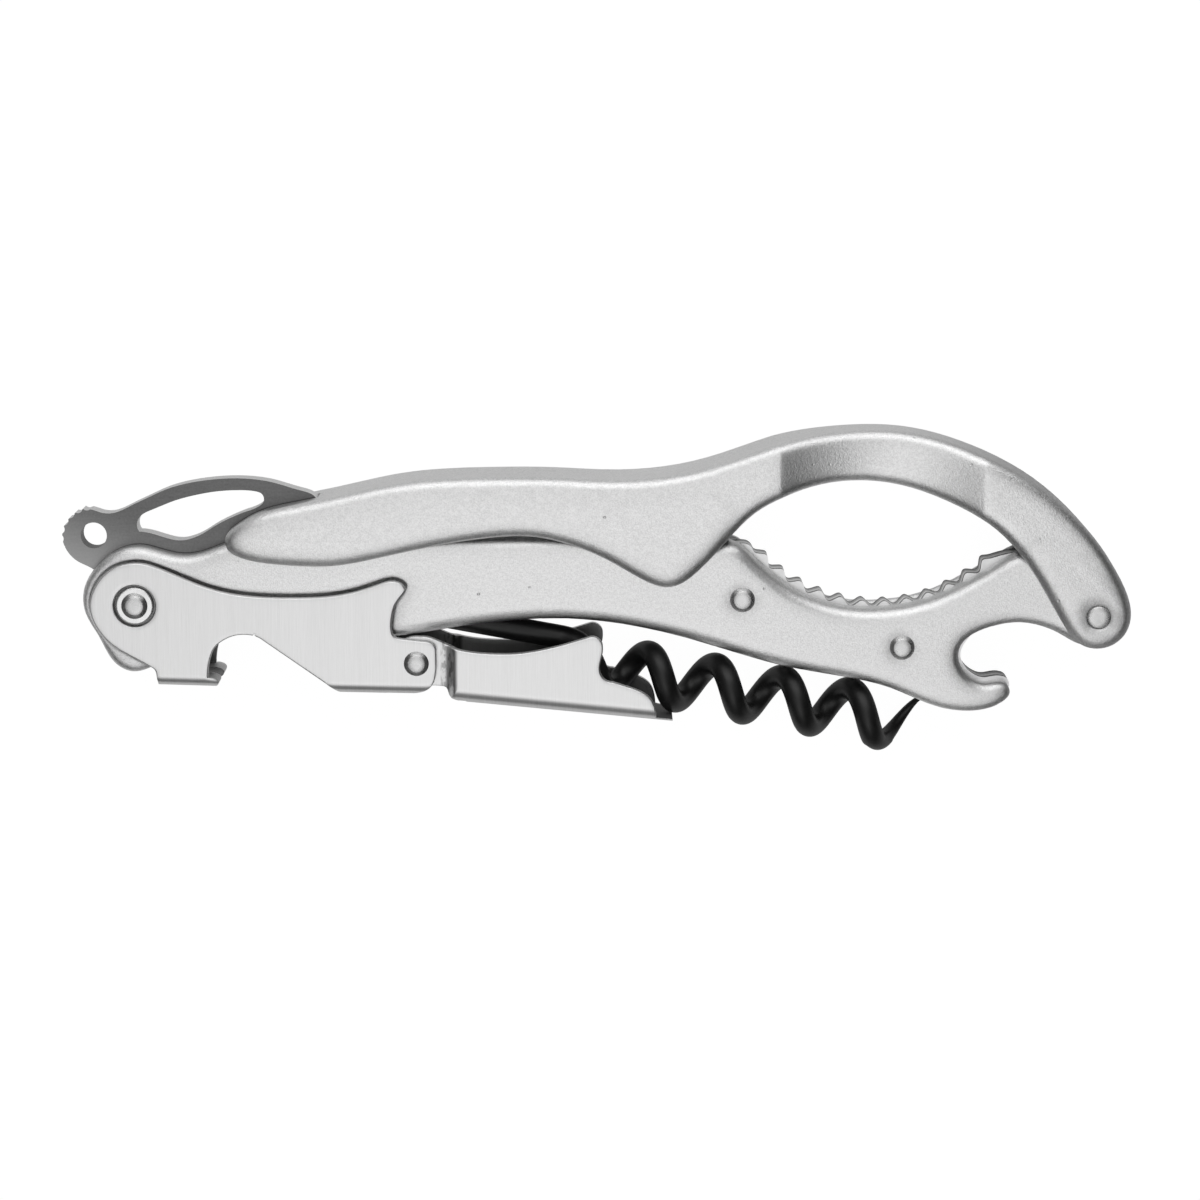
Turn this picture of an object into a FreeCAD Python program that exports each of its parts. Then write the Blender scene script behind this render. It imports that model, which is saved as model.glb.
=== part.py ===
import FreeCAD, Part
import math
import os
from FreeCAD import Vector

os.makedirs("parts", exist_ok=True)

# Lever-type corkscrew, folded flat.  Millimetres, +X along the handle towards
# the plier pivot, +Y towards the arched arm, +Z through the thickness.
# Everything is built about the middle plane and lifted by ARM_HALF at export,
# and moved by MID_Y so that the folded outline is centred on the origin.
MID_Y = 0.265

# half thicknesses of the layers, measured from the middle plane
WORM_WIRE = 1.5
KNIFE_HALF = 1.4
INSERT_HALF = 1.7
SHELL_OUT = 4.25
STAGE_IN = 4.45
STAGE_OUT = 5.45
ROOT_IN = 3.3
POCKET_HALF = 4.5
ARM_HALF = 5.75

# rounded edges and bends
SHELL_ROUND = 1.5
SHELL_ROUND_SMALL = 0.85
ARM_ROUND = 1.1
CHEEK_ROUND = 0.15
FOOT_BEND = 1.5
LUG_BEND = 1.6
CHANNEL_BEND = 1.9

# step in the casting that the folded lever lies in
RECESS_FLOOR = 3.75

# hinge centres
LEVER_PIVOT = (-59.7, -1.0)
WORM_PIVOT = (-28.7, -2.05)
STAGE_HINGE = (-23.3, -8.6)
ARM_PIVOT = (65.05, -2.45)
LOOP_RIVETS = ((19.0, -0.4), (39.8, -6.7))

# pins and their bores
LEVER_PIN_R = 1.3
BUSH_R = 2.72
BUSH_FACE_R = 2.42
WORM_PIN_R = 1.2
HINGE_PIN_R = 1.1
ARM_PIN_R = 1.5
LOOP_RIVET_R = 1.1
HEAD_R = 1.62
RUNNING = 0.06

# toothed loop of the grip insert: a wave laid on a circle
LOOP_CENTRE = (36.6, 19.0)
TOOTH_MID_R = 20.5
TOOTH_WAVE = 0.45
TOOTH_PITCH_DEG = 8.1
TOOTH_FIRST_DEG = -45.8
TOOTH_COUNT = 11

# thumb scoop in the arm
SCOOP_LEFT = 23.7
SCOOP_RIGHT = 50.0
SCOOP_DEPTH = 1.85

# worm: wire wound on a cylinder whose axis leans down along the handle
WIRE_R = 1.55
COIL_R = 2.85
COIL_PITCH = 9.0
AXIS_LEAN_DEG = -10.4
AXIS_START = (-1.80, -9.50)
RUN_IN_START = -3.7
RUN_IN_END = 3.0
SHANK_START = -26.6
TAPER_START = 39.2
TAPER_MIDDLE = 41.3
TIP_END = 44.8
FLARE_START = 36.5
FLARE_RATE = 0.1
TIP_TURN_SHARE = 0.8
TAPER_MID_R = 1.15
TIP_R = 0.3

# lanyard eye of the knife tab
TAB_EYE = (-65.3, 7.6)
TAB_EYE_R = 1.7
TAB_CENTRE = (-65.5, 7.2)
NOTCH_R = 0.65
NOTCH_ORBIT = 4.38


def line(start):
    return ("line", [start])


def curve(*points):
    return ("curve", list(points))


def arc(start, middle):
    return ("arc", [start, middle])


def polar(centre, radius, degrees):
    angle = math.radians(degrees)
    return (centre[0] + radius * math.cos(angle), centre[1] + radius * math.sin(angle))


def face_from(*runs):
    """Closed face from runs that each end where the next one starts."""
    edges = []
    for index, (kind, points) in enumerate(runs):
        goal = runs[(index + 1) % len(runs)][1][0]
        path = [Vector(x, y, 0) for x, y in points + [goal]]
        if kind == "line":
            edges.append(Part.makeLine(path[0], path[1]))
        elif kind == "arc":
            edges.append(Part.Arc(*path).toShape())
        else:
            spline = Part.BSplineCurve()
            spline.interpolate(path)
            edges.append(spline.toShape())
    return Part.Face(Part.Wire(edges))


def loop_face(*points):
    """Closed smooth face through the points."""
    spline = Part.BSplineCurve()
    spline.interpolate([Vector(x, y, 0) for x, y in points], PeriodicFlag=True)
    length = spline.LastParameter - spline.FirstParameter
    cuts = [spline.FirstParameter + length * index / 12 for index in range(13)]
    return Part.Face(Part.Wire([spline.toShape(low, high) for low, high in zip(cuts, cuts[1:])]))


def straight_face(*points):
    path = [Vector(x, y, 0) for x, y in points]
    return Part.Face(Part.makePolygon(path + [path[0]]))


def slab(face, low, high):
    solid = face.extrude(Vector(0, 0, high - low))
    solid.translate(Vector(0, 0, low))
    return solid


def disc(centre, radius, low, high):
    return Part.makeCylinder(radius, high - low, Vector(centre[0], centre[1], low))


def mirrored(shape):
    return shape.mirror(Vector(0, 0, 0), Vector(0, 0, 1))


def rim_edges(solid, level):
    """Edges that lie in the plane z = level."""
    found = []
    for edge in solid.Edges:
        box = edge.BoundBox
        if abs(box.ZMin - level) < 1e-4 and abs(box.ZMax - level) < 1e-4:
            found.append(edge)
    return found


def export(name, *solids):
    shape = solids[0] if len(solids) == 1 else Part.makeCompound(list(solids))
    shape = shape.copy()
    shape.translate(Vector(0, -MID_Y, ARM_HALF))
    shape.exportStep("parts/" + name + ".step")


def headed_rivet(centre, shank_r, head_r, seat, rise):
    """Rivet through the middle plane; each head is a dome struck flat on top."""
    crown = 1.75 * rise
    sphere_r = (head_r * head_r + crown * crown) / (2 * crown)
    dome = Part.makeSphere(sphere_r, Vector(centre[0], centre[1], seat + crown - sphere_r))
    head = dome.common(disc(centre, head_r, seat, seat + rise))
    shank = disc(centre, shank_r, -seat, seat)
    return shank.fuse([head, mirrored(head)]).removeSplitter()


def bent_bar(face, half, radius, bottom):
    """Bar whose lower long edges are rounded like a bend in sheet."""
    bar = slab(face, -half, half)
    bends = []
    for edge in rim_edges(bar, half) + rim_edges(bar, -half):
        if edge.BoundBox.YMax < bottom:
            bends.append(edge)
    return bar.makeFillet(radius, bends)


# --- frame: two cast shells with the grip insert between them ---------------

def body_outline():
    return loop_face(
        (18.7, 6.65), (17.6, 7.1), (15.5, 7.15), (10.0, 7.6), (0.0, 7.9), (-12.0, 7.8),
        (-28.0, 8.2), (-38.0, 8.2), (-44.0, 7.6), (-48.2, 6.7), (-51.2, 5.6),
        (-53.6, 5.3), (-56.2, 5.8), (-59.2, 6.5), (-62.0, 5.9), (-65.0, 3.6),
        (-66.5, 0.6), (-66.4, -2.0), (-64.6, -5.5), (-62.5, -9.0), (-60.4, -10.0),
        (-58.1, -9.5), (-54.5, -7.3), (-50.0, -5.3), (-45.0, -4.6), (-38.0, -5.0),
        (-32.0, -5.5), (-26.2, -5.4), (-19.0, -4.35), (-12.0, -3.45), (-4.5, -3.1),
        (1.1, -3.5), (10.7, -5.4), (19.1, -7.9), (24.6, -9.4), (31.9, -10.7),
        (38.6, -12.3), (44.8, -14.75), (48.3, -15.25), (51.2, -14.9), (53.1, -14.0),
        (54.0, -12.8), (53.6, -11.8), (52.2, -11.45), (50.6, -11.65), (49.1, -11.1),
        (47.8, -9.8), (47.2, -8.1), (47.6, -6.4), (49.3, -4.9), (52.0, -3.9), (54.8, -3.5),
        (57.6, -3.9), (60.3, -5.0), (62.4, -6.2), polar(ARM_PIVOT, 4.3, 262),
        polar(ARM_PIVOT, 4.3, 295), polar(ARM_PIVOT, 4.3, 330), polar(ARM_PIVOT, 4.3, 5),
        polar(ARM_PIVOT, 4.3, 40), polar(ARM_PIVOT, 4.3, 80), (62.7, 3.5), (59.5, 5.6),
        (56.6, 6.1), (54.2, 5.4), (51.8, 3.9), (48.2, 1.8), (44.5, 0.0), (40.9, -1.1),
        (37.2, -1.6), (33.6, -1.6), (29.9, -0.9), (26.3, 0.5), (22.6, 3.15),
        (20.0, 5.55),
    )


def shell_round(place):
    """Edge radius of the casting: smaller round the cap hook and the pivot end."""
    if place.x > 44 and place.y < -2:
        return SHELL_ROUND_SMALL
    if place.x < -55:
        return SHELL_ROUND_SMALL + 0.05
    return SHELL_ROUND


def rounded_shell():
    """Casting with an edge radius that changes along the rim."""
    block = slab(body_outline(), INSERT_HALF, SHELL_OUT)
    document = FreeCAD.newDocument()
    plain = document.addObject("Part::Feature")
    plain.Shape = block
    rounded = document.addObject("Part::Fillet")
    rounded.Base = plain
    rows = []
    for index, edge in enumerate(block.Edges):
        box = edge.BoundBox
        if abs(box.ZMin - SHELL_OUT) < 1e-4 and abs(box.ZMax - SHELL_OUT) < 1e-4:
            first = shell_round(edge.valueAt(edge.FirstParameter))
            last = shell_round(edge.valueAt(edge.LastParameter))
            rows.append((index + 1, first, last))
    rounded.Edges = rows
    document.recompute()
    shape = rounded.Shape.Solids[0].copy()
    FreeCAD.closeDocument(document.Name)
    return shape


def recess_wire(level, grow):
    """Rim of the lever recess, moved outwards by grow."""
    upper = [(-24.45, 1.2), (-25.0, 1.95), (-26.3, 2.4), (-27.95, 2.05), (-31.15, 1.0),
             (-34.45, 0.4), (-38.1, 0.2), (-42.5, 0.25), (-47.0, 0.7), (-50.4, 1.55),
             (-53.75, 2.9), (-56.85, 4.15)]
    round_pivot = [(-58.5, 4.65), (-60.4, 4.65), (-62.2, 4.15), (-63.85, 3.0), (-65.0, 1.45),
                   (-65.65, -0.7), (-65.45, -2.45), (-64.65, -4.2), (-63.3, -5.85),
                   (-61.15, -7.35), (-57.75, -9.3)]
    points = [(x, y + grow) for x, y in upper]
    for x, y in round_pivot:
        away = Vector(x - LEVER_PIVOT[0], y - LEVER_PIVOT[1], 0)
        away.normalize()
        points.append((x + away.x * grow, y + away.y * grow))
    face = face_from(
        curve(*points),
        line((-56.5 - grow, -10.2 - grow)),
        line((-56.5 - grow, -20.0)),
        line((-25.6, -20.0)),
        line((-25.6, -7.0)),
        curve((-26.0, -5.0), (-26.3, -4.0), (-26.2, -2.5), (-25.75, -0.8), (-24.95, 0.4)),
    )
    wire = face.OuterWire
    wire.translate(Vector(0, 0, level))
    return wire


def lever_recess():
    """Shallow step with a rounded shoulder along the lever's upper edge."""
    depth = SHELL_OUT - RECESS_FLOOR
    wires = []
    for share, grow in ((0.0, 0.0), (0.4, 0.04), (0.7, 0.16), (0.9, 0.34), (1.04, 0.62)):
        wires.append(recess_wire(RECESS_FLOOR + share * depth, grow))
    return Part.makeLoft(wires, True, False)


def body_shell():
    shell = rounded_shell().cut(lever_recess())
    bores = [disc(LEVER_PIVOT, LEVER_PIN_R, 0, 9), disc(WORM_PIVOT, WORM_PIN_R, 0, 9),
             disc(ARM_PIVOT, ARM_PIN_R, 0, 9)]
    bores += [disc(centre, LOOP_RIVET_R, 0, 9) for centre in LOOP_RIVETS]
    return shell.cut(bores)


def tooth_run():
    """Wavy gripping edge, four points to a tooth."""
    points = []
    for step in range(-2, 4 * TOOTH_COUNT + 3):
        turn = step / 4.0
        radius = TOOTH_MID_R - TOOTH_WAVE * math.cos(2 * math.pi * turn)
        degrees = TOOTH_FIRST_DEG + TOOTH_PITCH_DEG * turn - 90
        points.append(polar(LOOP_CENTRE, radius, degrees))
    return points


def grip_insert_plate():
    face = face_from(
        curve((17.4, 6.5), (18.8, 6.6), (19.8, 6.45), (20.3, 6.0), *tooth_run()),
        curve((54.6, 5.4), (57.0, 5.3), (60.0, 4.4), (62.6, 2.8)),
        arc(polar(ARM_PIVOT, 3.8, 85), polar(ARM_PIVOT, 3.8, -10)),
        curve(polar(ARM_PIVOT, 3.8, 255), (61.9, -5.3), (60.2, -4.5), (57.4, -3.5), (54.8, -3.1),
              (52.1, -3.6), (49.9, -4.75), (48.3, -6.4), (47.65, -8.1), (48.2, -9.6),
              (49.3, -10.65), (50.6, -11.15), (52.1, -10.95)),
        arc((53.15, -11.0), (54.1, -11.85)),
        curve((53.8, -12.9), (51.4, -14.2), (48.3, -14.5), (45.2, -14.0), (38.8, -11.7),
              (31.9, -10.1), (24.6, -8.8), (19.1, -7.3), (10.7, -4.8), (1.1, -2.9),
              (-4.5, -2.4), (-9.5, -2.6), (-14.0, -2.3), (-19.0, -1.4)),
        line((-24.4, -0.4)),
        line((-24.4, 7.2)),
        curve((-12.0, 7.1), (0.0, 7.2), (9.0, 6.9)),
    )
    plate = slab(face, -INSERT_HALF, INSERT_HALF)
    bores = [disc(centre, LOOP_RIVET_R, -9, 9) for centre in LOOP_RIVETS]
    return plate.cut(bores + [disc(ARM_PIVOT, ARM_PIN_R, -9, 9)])


def frame_rivets():
    return [headed_rivet(centre, LOOP_RIVET_R, HEAD_R, SHELL_OUT, 0.45) for centre in LOOP_RIVETS]


def pivot_bush():
    """Collar that the lever turns on, with a narrower raised face."""
    face = disc(LEVER_PIVOT, BUSH_FACE_R, RECESS_FLOOR, 5.4)
    face = face.makeChamfer(0.12, rim_edges(face, 5.4))
    bush = disc(LEVER_PIVOT, BUSH_R, RECESS_FLOOR, 4.75).fuse(face).removeSplitter()
    return bush.cut(disc(LEVER_PIVOT, LEVER_PIN_R, 0, 9))


def ring(centre, outer, inner, low, high):
    return disc(centre, outer, low, high).cut(disc(centre, inner, low - 1, high + 1))


def arm_pivot_rivet():
    rivet = disc(ARM_PIVOT, ARM_PIN_R, -5.72, 5.72)
    return rivet.makeChamfer(0.15, rim_edges(rivet, 5.72) + rim_edges(rivet, -5.72))


# --- plier arm --------------------------------------------------------------

def arm_outline():
    return loop_face(
        (-47.9, 7.4), (-47.5, 6.2), (-45.9, 5.2), (-42.5, 4.45), (-38.1, 4.1), (-34.4, 4.1),
        (-28.0, 5.2), (-18.3, 7.2), (-13.4, 7.85), (-8.6, 8.0), (-4.6, 7.3), (1.9, 4.7),
        (5.2, 2.8), (7.2, 1.8), (9.1, 1.35), (10.9, 1.75), (12.7, 3.0), (16.8, 7.3), (20.6, 11.1),
        (24.2, 13.1), (29.5, 14.7), (35.0, 15.05), (40.5, 14.2), (46.0, 12.2), (50.9, 9.5),
        (54.8, 5.7), (58.2, 0.6), (60.2, -2.9), polar(ARM_PIVOT, 4.3, 212),
        polar(ARM_PIVOT, 4.3, 241), polar(ARM_PIVOT, 4.3, 270), polar(ARM_PIVOT, 4.3, 300),
        polar(ARM_PIVOT, 4.3, 330), polar(ARM_PIVOT, 4.3, 0),
        (68.75, 0.5), (67.2, 3.6), (64.9, 7.1), (61.7, 10.7), (56.1, 15.2), (50.5, 18.15),
        (44.9, 20.3), (39.9, 21.4), (35.0, 21.65), (30.1, 21.3), (24.6, 20.3), (19.1, 18.5),
        (13.8, 16.8), (8.7, 15.8), (2.0, 15.4), (-5.5, 15.7), (-12.9, 15.75), (-20.2, 15.5),
        (-25.1, 15.0), (-30.1, 14.0), (-35.0, 12.9), (-39.5, 12.0), (-43.6, 10.9), (-46.6, 9.2),
    )


def scoop():
    """Shallow cylindrical hollow running across the arm."""
    half_chord = (SCOOP_RIGHT - SCOOP_LEFT) / 2
    radius = (half_chord * half_chord + SCOOP_DEPTH * SCOOP_DEPTH) / (2 * SCOOP_DEPTH)
    middle = (SCOOP_LEFT + SCOOP_RIGHT) / 2
    start = Vector(middle, -10, ARM_HALF - SCOOP_DEPTH + radius)
    return Part.makeCylinder(radius, 50, start, Vector(0, 1, 0))


def nose_pocket():
    face = face_from(
        curve((-50.0, 7.2), (-46.5, 8.2), (-42.5, 9.1), (-36.0, 10.5), (-28.0, 12.2),
              (-18.0, 13.1), (-5.0, 13.2), (4.0, 13.0), (11.0, 13.5)),
        curve((14.8, 13.9), (17.0, 12.8), (17.7, 9.5)),
        line((17.7, -4.0)),
        line((-50.0, -4.0)),
    )
    return slab(face, -POCKET_HALF, POCKET_HALF)


def heel_pocket():
    face = face_from(
        curve((53.6, 5.0), (54.6, 7.0), (57.0, 7.7), (60.0, 7.2), (62.8, 5.4), (65.0, 3.5),
              (67.2, 2.9)),
        line((70.5, 2.9)),
        line((70.5, -8.0)),
        line((53.6, -8.0)),
    )
    return slab(face, -POCKET_HALF, POCKET_HALF)


def knife_slot():
    face = straight_face((-50.0, 5.0), (-36.0, 5.0), (-36.0, 16.0), (-50.0, 16.0))
    return slab(face, -1.8, 1.8)


def plier_arm():
    arm = slab(arm_outline(), -ARM_HALF, ARM_HALF)
    hollow = scoop()
    arm = arm.cut([hollow, mirrored(hollow)])
    rims = []
    for edge in arm.Edges:
        box = edge.BoundBox
        outer = abs(box.ZMin) > 3.9 and abs(box.ZMax) > 3.9 and box.ZMin * box.ZMax > 0
        if outer and box.XLength + box.YLength > 0 and not (box.XLength < 1e-4 and box.ZLength < 1e-4):
            rims.append(edge)
    arm = arm.makeFillet(ARM_ROUND, rims)
    return arm.cut([nose_pocket(), heel_pocket(), knife_slot(),
                    disc(ARM_PIVOT, ARM_PIN_R + RUNNING, -9, 9)])


# --- two-stage lever ---------------------------------------------------------

def first_cheek_outline():
    return face_from(
        curve((-24.6, 1.1), (-25.1, 1.8), (-26.3, 2.2), (-27.9, 1.85), (-31.1, 0.8),
              (-34.4, 0.2), (-38.1, 0.0), (-42.5, 0.05), (-47.0, 0.5), (-50.4, 1.35),
              (-53.7, 2.7), (-56.8, 4.0), (-58.5, 4.5), (-60.3, 4.5), (-62.1, 4.0),
              (-63.7, 2.9), (-64.8, 1.4), (-65.5, -0.7), (-65.3, -2.4), (-64.5, -4.1),
              (-63.2, -5.7), (-61.1, -7.2)),
        curve((-57.7, -9.1), (-57.15, -9.7), (-57.0, -10.6)),
        curve((-56.9, -11.0), (-56.4, -11.5)),
        line((-56.0, -11.6)),
        line((-50.4, -11.6)),
        curve((-50.4, -10.8), (-50.3, -9.2), (-49.9, -7.5), (-49.4, -6.5), (-48.2, -5.5),
              (-46.9, -4.95), (-45.6, -4.8), (-44.2, -5.0)),
        line((-43.1, -5.6)),
        curve((-34.9, -11.4), (-33.9, -12.1), (-32.6, -12.55)),
        line((-31.6, -12.6)),
        curve((-25.6, -12.85), (-23.6, -12.7), (-21.9, -12.1), (-21.1, -11.2), (-20.8, -10.0)),
        line((-20.7, -9.3)),
        curve((-20.75, -7.0), (-21.0, -6.2), (-21.7, -5.8)),
        line((-22.6, -5.7)),
        curve((-25.5, -5.35), (-26.25, -4.9), (-26.5, -4.0), (-26.4, -2.4), (-25.9, -0.7),
              (-25.1, 0.4)),
    )


def first_foot():
    """Inturned lip of the cheek that hooks a bottle rim; open in the middle."""
    face = face_from(
        line((-56.9, -10.6)),
        curve((-50.3, -10.5), (-49.5, -10.65), (-49.05, -11.05), (-49.15, -11.5), (-49.6, -11.85)),
        line((-50.4, -12.5)),
        line((-56.9, -12.5)),
    )
    return slab(face, INSERT_HALF + 0.05, STAGE_OUT)


def first_cheek():
    """One side of the stage, with its lower edges bent inwards."""
    cheek = slab(first_cheek_outline(), STAGE_IN, STAGE_OUT)
    cheek = cheek.makeFillet(CHEEK_ROUND, rim_edges(cheek, STAGE_OUT))
    upper = straight_face((-70, -8.5), (-47.9, -8.5), (-44.0, -4.4), (-20, -4.4), (-20, 8), (-70, 8))
    foot_bar = straight_face((-60.0, -4.0), (-60.0, -11.5), (-47.5, -11.87), (-47.5, -4.0))
    foot_bar = bent_bar(foot_bar, STAGE_OUT, FOOT_BEND, -11.0)
    pieces = [cheek.fuse(first_foot()).common(foot_bar), cheek.common(lug_bar())]
    cheek = cheek.common(slab(upper, 0, 9)).fuse(pieces).removeSplitter()
    return cheek.cut([disc(LEVER_PIVOT, BUSH_R + 0.08, 0, 9)])


def lug_bar():
    """Bar that gives the hinge end of the stage its bent lower edge."""
    face = straight_face((-44.2, -4.0), (-44.2, -4.9), (-33.25, -12.62), (-19.5, -12.92), (-19.5, -4.0))
    return bent_bar(face, STAGE_OUT, LUG_BEND, -12.5)


def lever_first_stage():
    cheek = first_cheek()
    web = slab(straight_face((-34.3, -11.2), (-34.3, -13.5), (-27.2, -13.5), (-27.2, -11.85),
                             (-32.8, -11.6), (-33.7, -11.0)), -STAGE_OUT, STAGE_OUT)
    web = web.common(lug_bar())
    stage = cheek.fuse([mirrored(cheek), web]).removeSplitter()
    return stage.cut([disc(STAGE_HINGE, HINGE_PIN_R, -9, 9)])


def second_cheek_outline():
    """Side of the channel; its lower edge is given by the bent bar."""
    return face_from(
        curve(polar(STAGE_HINGE, 3.35, 82), (-21.6, -5.4), (-20.3, -5.9), (-18.4, -6.65),
              (-16.4, -7.1), (-13.5, -7.35), (-10.0, -7.3), (-7.1, -6.85), (-3.5, -5.95)),
        curve((-0.9, -5.15), (0.1, -5.2), (0.8, -5.9)),
        curve((0.9, -6.4), (0.7, -8.0), (0.5, -9.5), (1.0, -10.6)),
        curve((2.2, -11.1), (5.7, -12.3), (7.2, -13.4), (7.8, -15.0)),
        line((7.9, -16.0)),
        line((7.9, -17.5)),
        line((-16.9, -17.5)),
        curve((-16.9, -13.97), (-18.2, -13.6), (-19.1, -12.9), (-19.4, -12.1)),
        line((-19.9, -11.8)),
        curve((-20.8, -11.7), (-22.0, -11.75)),
        arc(polar(STAGE_HINGE, 3.35, 262), polar(STAGE_HINGE, 3.35, 172)),
    )


def second_sheet():
    """Side sheet seen from above: a narrow root that steps out to the wide channel."""
    thickness = STAGE_OUT - STAGE_IN
    step = STAGE_IN - ROOT_IN
    path = face_from(
        line((-30.0, ROOT_IN)),
        arc((-19.3, ROOT_IN), (-18.72, ROOT_IN + 0.155 * step)),
        arc((-18.4, ROOT_IN + 0.5 * step), (-18.08, ROOT_IN + 0.845 * step)),
        line((-17.5, STAGE_IN)),
        line((15.0, STAGE_IN)),
        line((15.0, STAGE_OUT)),
        arc((-17.9, STAGE_OUT), (-18.48, STAGE_OUT - 0.155 * step)),
        arc((-18.8, STAGE_OUT - 0.5 * step), (-19.12, STAGE_OUT - 0.845 * step)),
        line((-19.7, ROOT_IN + thickness)),
        line((-30.0, ROOT_IN + thickness)),
    )
    path.rotate(Vector(0, 0, 0), Vector(1, 0, 0), 90)
    sheet = path.extrude(Vector(0, 60, 0))
    sheet.translate(Vector(0, -30, 0))
    return sheet


def lever_second_stage():
    channel = straight_face((-30.0, -12.73), (10.0, -16.55), (10.0, 0.0), (-30.0, 0.0))
    channel = bent_bar(channel, STAGE_OUT, CHANNEL_BEND, -12.5)
    cheek = slab(second_cheek_outline(), 1.0, 8.0).common(second_sheet()).common(channel)
    web_face = straight_face((-16.9, -14.5), (10.5, -17.5), (10.5, -16.2), (8.4, -16.02), (7.2, -15.75),
                             (4.2, -15.37), (-12.0, -13.8), (-16.9, -13.25))
    web = slab(web_face, -STAGE_OUT, STAGE_OUT).common(channel)
    stage = cheek.fuse([mirrored(cheek), web]).removeSplitter()
    stage = stage.cut([disc(STAGE_HINGE, HINGE_PIN_R + RUNNING, -9, 9)])
    rims = rim_edges(stage, STAGE_OUT) + rim_edges(stage, -STAGE_OUT)
    return stage.makeFillet(CHEEK_ROUND, [edge for edge in rims if edge.Length > 0.3])


def hinge_rivet():
    return headed_rivet(STAGE_HINGE, HINGE_PIN_R, HEAD_R, STAGE_OUT, 0.29)


# --- worm --------------------------------------------------------------------

def worm_sweep(along):
    """Angle of the wire about the worm axis: straight, winding, then easing at the tip."""
    rate = 2 * math.pi / COIL_PITCH
    span = RUN_IN_END - RUN_IN_START
    if along <= RUN_IN_START:
        return 0.0
    if along <= RUN_IN_END:
        return 0.5 * rate * (along - RUN_IN_START) ** 2 / span
    if along <= TAPER_START:
        return rate * (along - RUN_IN_END + 0.5 * span)
    turns = TAPER_START - RUN_IN_END + TIP_TURN_SHARE * (along - TAPER_START)
    return rate * (turns + 0.5 * span)


def worm_point(along):
    lean = math.radians(AXIS_LEAN_DEG)
    axis = Vector(math.cos(lean), math.sin(lean), 0)
    across = Vector(-math.sin(lean), math.cos(lean), 0)
    sweep = worm_sweep(along)
    radial = across * math.cos(sweep) + Vector(0, 0, 1) * math.sin(sweep)
    start = Vector(AXIS_START[0], AXIS_START[1], 0)
    reach = COIL_R + FLARE_RATE * max(0.0, along - FLARE_START)
    return start + axis * along + radial * reach, radial


def worm_ring(along, radius):
    """Cross-section of the wire, square to its run."""
    centre, radial = worm_point(along)
    ahead = worm_point(along + 0.01)[0] - worm_point(along - 0.01)[0]
    ahead.normalize()
    side = ahead.cross(radial)
    side.normalize()
    radial = side.cross(ahead)
    frame = FreeCAD.Placement(centre, FreeCAD.Rotation(radial, side, ahead, "ZXY"))
    circle = Part.Wire([Part.makeCircle(radius)])
    circle.Placement = frame
    return circle


def wire_run(stations, radii):
    """Round wire swept through the stations, its radius set at both ends."""
    run = Part.BSplineCurve()
    run.interpolate([worm_point(along)[0] for along in stations])
    ends = [worm_ring(stations[0], radii[0]), worm_ring(stations[-1], radii[1])]
    if radii[0] == radii[1]:
        ends = ends[:1]
    return Part.Wire([run.toShape()]).makePipeShell(ends, True, False)


def spaced(low, high):
    return [low + (high - low) * index / 5 for index in range(6)]


def worm():
    step = COIL_PITCH / 14
    count = int((TAPER_START - RUN_IN_START) / step)
    stations = [SHANK_START, -20.0, -12.0, -7.0, -5.0]
    stations += [RUN_IN_START + step * index for index in range(count)]
    wire = wire_run(stations + [TAPER_START], (WIRE_R, WIRE_R))
    shoulder = wire_run(spaced(TAPER_START - 0.6, TAPER_MIDDLE), (WIRE_R - 0.02, TAPER_MID_R))
    point = wire_run(spaced(TAPER_MIDDLE - 0.3, TIP_END), (TAPER_MID_R - 0.01, TIP_R))
    eye = disc(WORM_PIVOT, 2.7, -WORM_WIRE, WORM_WIRE)
    eye = eye.makeFillet(0.5, rim_edges(eye, WORM_WIRE) + rim_edges(eye, -WORM_WIRE))
    end = Part.makeSphere(TIP_R, worm_point(TIP_END)[0])
    whole = wire.fuse([shoulder, point, eye, end])
    return whole.cut(disc(WORM_PIVOT, WORM_PIN_R + RUNNING, -9, 9))


# --- foil knife --------------------------------------------------------------

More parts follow.
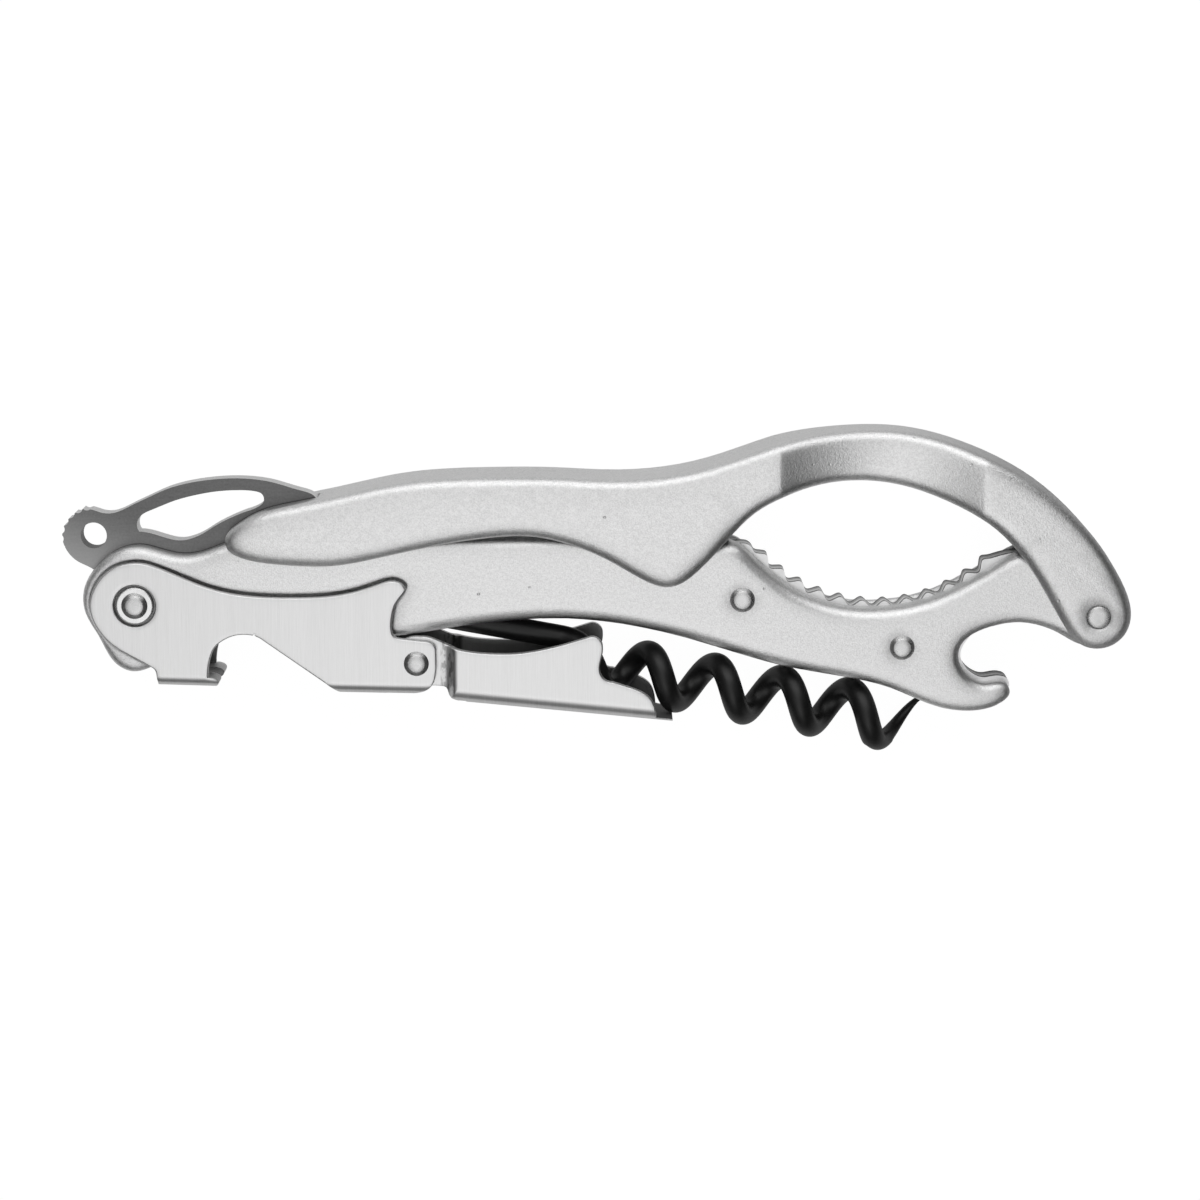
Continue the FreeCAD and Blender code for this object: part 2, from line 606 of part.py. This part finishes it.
def foil_knife():
    face = face_from(
        curve((-67.0, 10.95), (-68.3, 10.0), (-69.15, 8.8), (-69.4, 7.4), (-69.1, 6.1),
              (-68.4, 5.0), (-67.5, 4.2), (-66.3, 3.6)),
        curve((-64.9, 2.6), (-64.3, 0.6), (-64.5, -1.6), (-63.2, -4.4), (-60.6, -5.8), (-57.4, -5.3)),
        curve((-54.4, -3.4), (-50.0, -0.3), (-45.4, 3.6), (-41.0, 7.3), (-37.6, 10.4)),
        curve((-36.1, 12.2), (-36.5, 12.75), (-38.6, 13.6), (-41.8, 14.55), (-44.5, 15.0),
              (-47.4, 15.1), (-50.2, 14.9), (-53.0, 14.45), (-55.9, 13.6), (-58.3, 12.5),
              (-59.8, 11.8), (-61.4, 11.0), (-62.7, 10.55), (-64.0, 10.55), (-65.3, 10.95),
              (-66.2, 11.1)),
    )
    knife = slab(face, -KNIFE_HALF, KNIFE_HALF)
    window = face_from(
        curve((-59.35, 8.1), (-59.6, 8.6), (-59.6, 9.4), (-59.1, 10.2), (-57.6, 11.0), (-54.9, 12.1),
              (-52.0, 12.9), (-49.1, 13.4), (-46.4, 13.55), (-44.2, 13.4), (-43.3, 13.0),
              (-43.1, 12.2), (-43.9, 11.35)),
        curve((-45.3, 10.8), (-47.5, 9.9), (-49.6, 8.8), (-51.2, 7.8), (-52.6, 7.2), (-53.9, 6.95),
              (-55.4, 7.15), (-57.2, 7.7)),
    )
    knife = knife.cut([slab(window, -9, 9), disc(TAB_EYE, TAB_EYE_R, -9, 9),
                       disc(LEVER_PIVOT, LEVER_PIN_R + RUNNING, -9, 9)])
    notches = [disc(polar(TAB_CENTRE, NOTCH_ORBIT, 98 + 16.5 * index), NOTCH_R, -9, 9) for index in range(7)]
    return knife.cut(notches)


shell = body_shell()
export("body_shell_front", shell)
export("body_shell_back", mirrored(shell))
export("grip_insert_plate", grip_insert_plate())
export("frame_rivets", *frame_rivets())
export("lever_pivot_rivet", headed_rivet(LEVER_PIVOT, LEVER_PIN_R, 1.7, 5.4, 0.33))
bush = pivot_bush()
export("pivot_bush_front", bush)
export("pivot_bush_back", mirrored(bush))
export("worm_pin", disc(WORM_PIVOT, WORM_PIN_R, -SHELL_OUT, SHELL_OUT))
knife_washer = ring(LEVER_PIVOT, 3.2, LEVER_PIN_R, KNIFE_HALF + 0.04, INSERT_HALF)
export("knife_washer_front", knife_washer)
export("knife_washer_back", mirrored(knife_washer))
arm_washer = ring(ARM_PIVOT, 3.2, ARM_PIN_R, SHELL_OUT, POCKET_HALF - 0.04)
export("arm_washer_front", arm_washer)
export("arm_washer_back", mirrored(arm_washer))
export("arm_pivot_rivet", arm_pivot_rivet())
export("plier_arm", plier_arm())
export("lever_first_stage", lever_first_stage())
export("lever_hinge_rivet", hinge_rivet())
export("lever_second_stage", lever_second_stage())
export("worm", worm())
export("foil_knife", foil_knife())
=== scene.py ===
import math
import bpy
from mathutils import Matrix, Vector


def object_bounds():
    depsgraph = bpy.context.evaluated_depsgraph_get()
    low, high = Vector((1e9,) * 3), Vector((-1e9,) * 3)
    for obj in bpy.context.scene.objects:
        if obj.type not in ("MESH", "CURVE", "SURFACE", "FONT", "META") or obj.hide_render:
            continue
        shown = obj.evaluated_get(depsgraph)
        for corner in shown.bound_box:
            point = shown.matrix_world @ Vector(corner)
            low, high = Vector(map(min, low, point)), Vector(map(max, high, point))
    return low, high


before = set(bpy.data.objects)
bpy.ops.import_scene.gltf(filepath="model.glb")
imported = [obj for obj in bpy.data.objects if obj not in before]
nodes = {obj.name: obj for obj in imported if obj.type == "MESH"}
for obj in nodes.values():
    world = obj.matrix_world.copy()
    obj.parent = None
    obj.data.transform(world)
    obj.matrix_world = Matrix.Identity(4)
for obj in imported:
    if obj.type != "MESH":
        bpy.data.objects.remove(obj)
cad_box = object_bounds()


# --- Cast handle shells and plier arm ------------------------------------------
# Die-cast zinc, bead-blasted and plated with pearl chrome: an even pale grey
# with a fine grainy sheen, a few pinholes, and soft, slightly crowned edges.

CAST_DARK, CAST_PALE = 0.73, 1.0
CAST_RELIEF = 0.000026
CAST_EDGE, CAST_CROWN, CAST_CROWN_SHARE = 0.0005, 0.0033, 0.46
PINHOLE_TONE = 0.45
SQUARE_TO_AXES = 0.99999


class Wire:
    """A socket of the material being made; arithmetic on it adds Math nodes."""

    def __init__(self, tree, socket=None):
        self.tree = tree
        self.socket = socket

    def node(self, kind, settings=None, sockets=None, output=0):
        """Add a node of this kind, set it, feed it and give back one of its outputs."""
        made = self.tree.nodes.new(kind)
        for name, value in (settings or {}).items():
            if name == "stops":
                ramp = made.color_ramp
                while len(ramp.elements) < len(value):
                    ramp.elements.new(0.5)
                for element, (place, grey) in zip(ramp.elements, value):
                    element.position = place
                    element.color = (grey, grey, grey, 1.0)
            else:
                setattr(made, name, value)
        for name, value in (sockets or {}).items():
            if isinstance(value, Wire):
                self.tree.links.new(value.socket, made.inputs[name])
            else:
                made.inputs[name].default_value = value
        return Wire(self.tree, made.outputs[output])

    def maths(self, operation, first, second):
        return self.node("ShaderNodeMath", {"operation": operation}, {0: first, 1: second})

    def __add__(self, other):
        return self.maths("ADD", self, other)

    __radd__ = __add__

    def __mul__(self, other):
        return self.maths("MULTIPLY", self, other)

    __rmul__ = __mul__

    def __sub__(self, other):
        return self.maths("SUBTRACT", self, other)

    def __rsub__(self, other):
        return self.maths("SUBTRACT", other, self)

    def __abs__(self):
        return self.maths("ABSOLUTE", self, 0.0)

    def ramp(self, low, high, first=0.0, last=1.0):
        """Smooth change from first to last as this socket goes from low to high."""
        return self.node("ShaderNodeMapRange", {"interpolation_type": "SMOOTHSTEP"},
                         {"Value": self, "From Min": low, "From Max": high,
                          "To Min": first, "To Max": last})

    def steps(self, *stops):
        """Straight change through stops of a place and a grey."""
        return self.node("ShaderNodeValToRGB", {"stops": stops}, {"Fac": self})

    def part(self, axis):
        return self.node("ShaderNodeSeparateXYZ", {}, {0: self}, output=axis)

    def grey(self):
        """This value as a colour."""
        return self.node("ShaderNodeCombineColor", {}, {0: self, 1: self, 2: self})


def start_material(name, **fixed):
    """New material with its even values set straight on the shader, and its place socket."""
    material = bpy.data.materials.new(name)
    material.use_nodes = True
    tree = material.node_tree
    shader = tree.nodes["Principled BSDF"]
    for label, value in fixed.items():
        shader.inputs[label.replace("_", " ")].default_value = value
    return material, Wire(tree).node("ShaderNodeTexCoord", output="Object")


def finish_material(material, **links):
    tree = material.node_tree
    shader = tree.nodes["Principled BSDF"]
    for label, wire in links.items():
        tree.links.new(wire.socket, shader.inputs[label.replace("_", " ")])
    return material


def colour_mix(factor, low, high):
    """Colour between two others; a number stands for the grey of that tone."""
    ends = [end if isinstance(end, Wire) else (end, end, end, 1.0) for end in (low, high)]
    return factor.node("ShaderNodeMix", {"data_type": "RGBA"},
                       {0: factor, 6: ends[0], 7: ends[1]}, output=2)


def noise(place, scale, detail=3.0, roughness=0.55):
    return place.node("ShaderNodeTexNoise", {}, {"Vector": place, "Scale": scale,
                                                 "Detail": detail, "Roughness": roughness})


def bump(height, distance, base=None):
    sockets = {"Height": height, "Distance": distance}
    if base:
        sockets["Normal"] = base
    return height.node("ShaderNodeBump", {}, sockets)


def pillowed(place, edge, reach, share):
    """Creases softened over edge, and faces crowned by a share of a bevel of the given reach."""
    tight = place.node("ShaderNodeBevel", {"samples": 6}, {"Radius": edge})
    broad = place.node("ShaderNodeBevel", {"samples": 6}, {"Radius": reach})
    return place.node("ShaderNodeMix", {"data_type": "VECTOR"},
                      {0: share, 4: tight, 5: broad}, output=1)


def cast_chrome():
    material, place = start_material("cast_satin", Metallic=1.0)
    grain = noise(place, 5200.0, 1.0, 0.6)
    blast = noise(place, 2300.0, 2.0, 0.6)
    cloud = noise(place, 70.0, 3.0)
    cells = place.node("ShaderNodeTexVoronoi", {"feature": "F1"}, {"Vector": place, "Scale": 420.0})
    pierced = noise(place, 610.0, 0.0).steps((0.60, 0.0), (0.66, 1.0))
    pinholes = (1.0 - cells.steps((0.05, 0.0), (0.09, 1.0))) * pierced
    fleck = (grain * 0.6 + blast * 0.4).steps((0.36, 0.0), (0.64, 1.0))
    tone = colour_mix(fleck * 0.80 + cloud * 0.20, CAST_DARK, CAST_PALE)
    return finish_material(material, Base_Color=colour_mix(pinholes * 0.3, tone, PINHOLE_TONE),
                           Roughness=grain * 0.10 + cloud * 0.05 + 0.26,
                           Normal=bump(grain * 1.0 + blast * 0.5 - pinholes * 1.2, CAST_RELIEF,
                                       pillowed(place, CAST_EDGE, CAST_CROWN, CAST_CROWN_SHARE)))


def steady_flats(mesh):
    """Give each corner of a face that lies square to the hinge axes that face's own normal."""
    normals = [corner.vector.copy() for corner in mesh.corner_normals]
    for face in mesh.polygons:
        if abs(face.normal.z) > SQUARE_TO_AXES:
            for corner in face.loop_indices:
                normals[corner] = face.normal.copy()
    mesh.normals_split_custom_set(normals)


def dress(material, names):
    for name in names:
        mesh = nodes[name].data
        steady_flats(mesh)
        mesh.materials.clear()
        mesh.materials.append(material)


dress(cast_chrome(), ["body_shell_front", "body_shell_back", "plier_arm"])


# --- Grip insert -----------------------------------------------------------------
# Stamped steel plate clamped between the shells; its wavy edge grips a stopper
# and its hooked end lifts crown caps. The sheared wall has a bright burnished
# half and a darker torn half; the dark line along each arris is painted shade
# of the rounded arris.

BURNISH_FADES = (0.0056, 0.0060)
NEAR_ARRIS = (0.00665, 0.0068)
FAR_ARRIS = (0.0047, 0.0050)
TORN_TONE, BURNISH_GAIN, SHEAR_GAIN = 0.44, 0.42, 0.14
# How dark the painted shade along each arris is.
ARRIS_PAINTED_SHADE = 0.82
PLATE_FACE_TONE = 0.80
INSERT_RELIEF = 0.00002


def stretched(place, scale):
    return place.node("ShaderNodeMapping", {}, {"Vector": place, "Scale": scale})


def facing_along_axes(place):
    """Height of the surface's direction: 1 or -1 on a flat side, 0 on a wall."""
    return place.node("ShaderNodeNewGeometry", output="Normal").part("Z")


def insert_steel():
    material, place = start_material("insert_steel", Metallic=1.0)
    height = place.part("Z")
    flat = abs(facing_along_axes(place)).ramp(0.5, 0.9)
    sheared = noise(stretched(place, (1500.0, 1500.0, 90.0)), 1.0, 4.0)
    wander = (sheared - 0.5) * 0.0006
    burnished = (height + wander).ramp(*BURNISH_FADES)
    # Painted shade: a dark band along each arris, standing in for the rounded arris.
    arris_painted_shade = ((height + wander * 0.5).ramp(*NEAR_ARRIS)
             + (height + wander).ramp(*FAR_ARRIS, 1.0, 0.0))
    wall = burnished * BURNISH_GAIN + sheared * SHEAR_GAIN + TORN_TONE
    wall = wall * (1.0 - arris_painted_shade * ARRIS_PAINTED_SHADE)
    cloud = noise(place, 220.0, 3.0)
    shade = flat * (cloud * 0.10 + PLATE_FACE_TONE) + (1.0 - flat) * wall
    return finish_material(material, Base_Color=shade.grey(), Roughness=sheared * 0.16 + 0.26,
                           Normal=bump(sheared, INSERT_RELIEF))


dress(insert_steel(), ["grip_insert_plate"])


# --- Two-stage lever ---------------------------------------------------------------
# Folded stainless sheet, linished across its length so that the grain runs up
# and down. The inside of the folds is painted dark as the shade in the channel,
# and is a little rougher there; the sheared edges are rougher, and the press has
# galled the step beside the hinge.

MID_HEIGHT = 0.00575
FLOOR_EDGE = (0.0043, 0.0045)
FLOOR_STARTS = (-0.018, -0.0175)
STEP_LEFT, STEP_RIGHT = (-0.0204, -0.0199), (-0.0188, -0.0181)
LEVER_TONE, STREAK_GAIN = 0.77, 0.15
# Darkening painted on the inside of the folds as the channel's shade.
INSIDE_PAINTED_SHADE = 0.72
LEVER_RELIEF = 0.000008
LEVER_EDGE, LEVER_CROWN, LEVER_CROWN_SHARE = 0.0001, 0.0009, 0.25


def linished_steel():
    material, place = start_material("lever_steel", Metallic=1.0)
    fine = noise(stretched(place, (5200.0, 160.0, 160.0)), 1.0, 4.0, 0.7)
    broad = noise(stretched(place, (700.0, 40.0, 40.0)), 1.0, 3.0)
    streak = fine * 0.6 + broad * 0.4
    along = place.part("X")
    height = place.part("Z") - MID_HEIGHT
    facing = facing_along_axes(place)
    # Painted shade: the inner faces of the cheeks and the channel floor are darkened.
    cheek_inside_shade = (height * facing * -1000.0).ramp(0.3, 1.5)
    up_the_channel = place.node("ShaderNodeTexCoord", output="Normal").part("Y").ramp(0.0, 0.3)
    floor_inside_shade = (1.0 - abs(height).ramp(*FLOOR_EDGE)) * along.ramp(*FLOOR_STARTS) * up_the_channel
    painted_shade_inside = cheek_inside_shade + floor_inside_shade - cheek_inside_shade * floor_inside_shade
    sheared = abs(facing).ramp(0.1, 0.4, 1.0, 0.0)
    pressed_step = along.ramp(*STEP_LEFT) * along.ramp(*STEP_RIGHT, 1.0, 0.0)
    galled = noise(stretched(place, (2200.0, 900.0, 900.0)), 1.0, 2.0).steps((0.48, 0.0), (0.60, 1.0))
    tone = streak.steps((0.3, 0.0), (0.7, 1.0)) * STREAK_GAIN + LEVER_TONE
    shade = tone * (1.0 - pressed_step * (galled * 0.40 + 0.10)) * (1.0 - painted_shade_inside * INSIDE_PAINTED_SHADE)
    return finish_material(material, Base_Color=shade.grey(),
                           Roughness=streak * 0.16 + painted_shade_inside * 0.12 + sheared * 0.30 + 0.25,
                           Normal=bump(fine, LEVER_RELIEF,
                                       pillowed(place, LEVER_EDGE, LEVER_CROWN, LEVER_CROWN_SHARE)))


dress(linished_steel(), ["lever_first_stage", "lever_second_stage"])


# --- Foil knife ----------------------------------------------------------------------
# Blanked hardened steel. The flat sides keep a dark furnace skin that is worn
# paler towards the pivot; the cut edges are tumbled bright, save the eye's wall,
# which is painted dark as the shade inside the hole.

EYE_CENTRE = (-0.0653, 0.007335, 0.0)
EYE_WALL = (0.0018, 0.0020)
# The eye's wall takes a painted shade; the other cut edges are tumbled bright.
EYE_WALL_PAINTED_SHADE, TUMBLED_GAIN = 0.10, 0.76
SKIN_TONE, WORN_GAIN = 0.08, 0.26
WORN_FADES = (-0.0200, -0.0105)
KNIFE_RELIEF = 0.000012


def knife_steel():
    material, place = start_material("knife_steel", Metallic=1.0)
    scratch = noise(stretched(place, (300.0, 2400.0, 300.0)), 1.0, 5.0, 0.7)
    grain = noise(place, 3600.0, 2.0)
    mixed = scratch * 0.5 + grain * 0.5
    flat = abs(facing_along_axes(place)).ramp(0.5, 0.9)
    worn = (place.part("Y") * 0.7 + place.part("X") * 0.3).ramp(*WORN_FADES, 1.0, 0.0)
    skin = worn * WORN_GAIN + mixed * 0.18 + SKIN_TONE
    from_eye = place.node("ShaderNodeVectorMath", {"operation": "DISTANCE"},
                          {0: stretched(place, (1.0, 1.0, 0.0)), 1: EYE_CENTRE}, output="Value")
    # Cut edges tumbled bright, with painted shade on the eye's wall.
    tumbled_edge_and_eye_shade = from_eye.ramp(*EYE_WALL) * TUMBLED_GAIN + EYE_WALL_PAINTED_SHADE
    shade = flat * skin + (1.0 - flat) * tumbled_edge_and_eye_shade
    return finish_material(material, Base_Color=shade.grey(), Roughness=mixed * 0.2 + 0.26,
                           Normal=bump(mixed, KNIFE_RELIEF))


dress(knife_steel(), ["foil_knife"])


# --- Rivets, pivot bushes and pins ------------------------------------------------------
# Headed or turned steel, a little smoother than the castings round it, with
# crowned heads. The low ring of each bush is painted dark as the shade in its
# groove.

RIVET_RELIEF = 0.000008
RIVET_EDGE, RIVET_CROWN_SHARE = 0.0001, 0.55
# Heights the painted groove shade reaches: none on rivets and pins, up to the groove on the bushes.
NO_GROOVE_SHADE = -0.001
BUSH_GROOVE = 0.0049


def rivet_steel(name, groove_shade_height, tone, crown):
    """Steel painted dark, as the shade in a groove, up to the given height from mid-plane."""
    material, place = start_material(name, Metallic=1.0)
    grain = noise(place, 2000.0, 2.0)
    cloud = noise(place, 500.0, 2.0)
    # Painted shade: the low ring inside the groove is darkened.
    groove_painted_shade = 1.0 - abs(place.part("Z") - MID_HEIGHT).ramp(groove_shade_height, groove_shade_height + 0.0002)
    shade = (cloud * 0.20 + tone) * (1.0 - groove_painted_shade * 0.75)
    return finish_material(material, Base_Color=shade.grey(), Roughness=grain * 0.12 + 0.22,
                           Normal=bump(grain, RIVET_RELIEF,
                                       pillowed(place, RIVET_EDGE, crown, RIVET_CROWN_SHARE)))


dress(rivet_steel("rivet_steel", NO_GROOVE_SHADE, 0.60, 0.0011),
      ["frame_rivets", "lever_pivot_rivet", "lever_hinge_rivet", "arm_pivot_rivet", "worm_pin"])
dress(rivet_steel("bush_steel", BUSH_GROOVE, 0.78, 0.0003),
      ["pivot_bush_front", "pivot_bush_back"])


# --- Worm -----------------------------------------------------------------------------------
# Hard steel wire wound right-handed and coated with black non-stick resin: a
# smooth skin with a soft broad shine.

COAT_RELIEF = 0.00001


def black_resin():
    material, place = start_material("worm_coat", Metallic=0.0, IOR=1.5)
    skin = noise(place, 900.0, 3.0)
    return finish_material(material, Base_Color=colour_mix(skin, 0.006, 0.014),
                           Roughness=skin * 0.12 + 0.36, Normal=bump(skin, COAT_RELIEF))


dress(black_resin(), ["worm"])


# --- Friction washers -------------------------------------------------------------------------
# Thin punched discs of plain black plastic that take up the side clearance at
# the knife and at the arm.

def washer_plastic():
    material, place = start_material("washer_plastic", Metallic=0.0, IOR=1.46)
    skin = noise(place, 1200.0, 3.0)
    return finish_material(material, Base_Color=colour_mix(skin, 0.02, 0.04),
                           Roughness=skin * 0.15 + 0.5, Normal=bump(skin, COAT_RELIEF))


dress(washer_plastic(),
      ["knife_washer_front", "knife_washer_back", "arm_washer_front", "arm_washer_back"])


# --- Floor ----------------------------------------------------------------------------------------
# Plain white table top. It is white to the eye and greyer in the metal, where
# it fades towards the right, and it takes the tool's soft shadow.

FLOOR_REACH = 3.0
FLOOR_DROP = 0.0002
FLOOR_TONE = 0.55
GLOW = 1.15
SEEN_BY_EYE, SEEN_THROUGH = 0.85, 0.30
SEEN_IN_METAL = (0.036, 0.062, 0.30, 0.04)

floor_mesh = bpy.data.meshes.new("floor")
corners = [(x * FLOOR_REACH, y * FLOOR_REACH, 0.0) for x, y in ((-1, -1), (1, -1), (1, 1), (-1, 1))]
floor_mesh.from_pydata(corners, [], [(0, 1, 2, 3)])
floor = bpy.data.objects.new("floor", floor_mesh)
bpy.context.scene.collection.objects.link(floor)
floor.location.z = cad_box[0][2] - FLOOR_DROP
floor_paint = bpy.data.materials.new("floor")
floor_paint.use_nodes = True
floor_tree = floor_paint.node_tree
floor_tree.nodes.clear()
start = Wire(floor_tree)
fading = start.node("ShaderNodeTexCoord", output="Object").part("X").ramp(*SEEN_IN_METAL)
seen = start.node("ShaderNodeLightPath", output="Is Camera Ray") * SEEN_BY_EYE
seen = seen + start.node("ShaderNodeLightPath", output="Is Glossy Ray") * fading
seen = seen + start.node("ShaderNodeLightPath", output="Is Transmission Ray") * SEEN_THROUGH
matt = start.node("ShaderNodeBsdfDiffuse", {}, {"Color": (FLOOR_TONE, FLOOR_TONE, FLOOR_TONE, 1.0)})
glow = start.node("ShaderNodeEmission", {}, {"Color": (1.0, 1.0, 1.0, 1.0), "Strength": GLOW})
cover = start.node("ShaderNodeMixShader", {}, {0: seen, 1: matt, 2: glow})
end = floor_tree.nodes.new("ShaderNodeOutputMaterial")
floor_tree.links.new(cover.socket, end.inputs["Surface"])
floor_mesh.materials.append(floor_paint)


# --- Light --------------------------------------------------------------------------------------------
# Soft studio light: a pale ceiling over a dark room, a black screen on the
# right, a grey one on the left, and one broad lamp over the upper edge.

CEILING_STRENGTH = 1.28
RIGHT_SCREEN, LEFT_SCREEN = 0.86, 0.60
BACK_WALL = 0.19

world = bpy.data.worlds.new("room")
bpy.context.scene.world = world
world.use_nodes = True
sky = world.node_tree
sky.nodes.clear()
start = Wire(sky)
way = start.node("ShaderNodeTexCoord", output="Generated")
across = way.part("X")
back_to_front = way.part("Y")
ceiling = way.part("Z").ramp(0.58, 0.93, 0.12, 1.0) * (0.0 - back_to_front).ramp(0.0, 0.36, 0.70, 1.0)
right = 1.0 - across.ramp(0.08, 0.42) * RIGHT_SCREEN
left = 1.0 - (0.0 - across).ramp(0.12, 0.36) * LEFT_SCREEN
behind = back_to_front.ramp(0.30, 0.95) * BACK_WALL


def backdrop(tone, strength):
    return start.node("ShaderNodeBackground", {}, {"Color": (tone, tone, tone, 1.0), "Strength": strength})


room = start.node("ShaderNodeMixShader", {}, {0: ceiling * right * left + behind,
                                              1: backdrop(0.0, 1.0), 2: backdrop(1.0, CEILING_STRENGTH)})
seen = start.node("ShaderNodeLightPath", output="Is Camera Ray")
cover = start.node("ShaderNodeMixShader", {}, {0: seen, 1: room, 2: backdrop(1.0, 1.0)})
end = sky.nodes.new("ShaderNodeOutputWorld")
sky.links.new(cover.socket, end.inputs["Surface"])

lamp = bpy.data.lights.new("upper_lamp", "AREA")
lamp.shape = "RECTANGLE"
lamp.size = 0.9
lamp.size_y = 0.35
lamp.energy = 1.5
lamp_holder = bpy.data.objects.new("upper_lamp", lamp)
bpy.context.scene.collection.objects.link(lamp_holder)
lamp_holder.location = (0.0, 0.55, 0.42)
lamp_holder.rotation_euler = (-math.radians(52.0), 0.0, 0.0)


# --- Camera -----------------------------------------------------------------------------------------------
# Looks almost straight down on the flat tool, leaning a little over its upper
# edge.

TARGET = Vector((0.00053, -0.001455, 0.00575))
LEAN = math.radians(10.39)
DISTANCE = 0.45
SENSOR = 36.0
FOCAL_PIXELS, FRAME_PIXELS = 3438.0, 1200.0

camera = bpy.data.cameras.new("camera")
camera.sensor_width = SENSOR
camera.lens = FOCAL_PIXELS / FRAME_PIXELS * SENSOR
camera.clip_start = 0.01
eye = bpy.data.objects.new("camera", camera)
bpy.context.scene.collection.objects.link(eye)
eye.location = TARGET + Vector((0.0, math.sin(LEAN), math.cos(LEAN))) * DISTANCE
eye.rotation_euler = (-LEAN, 0.0, 0.0)
bpy.context.scene.camera = eye
bpy.context.scene.view_settings.view_transform = "Standard"
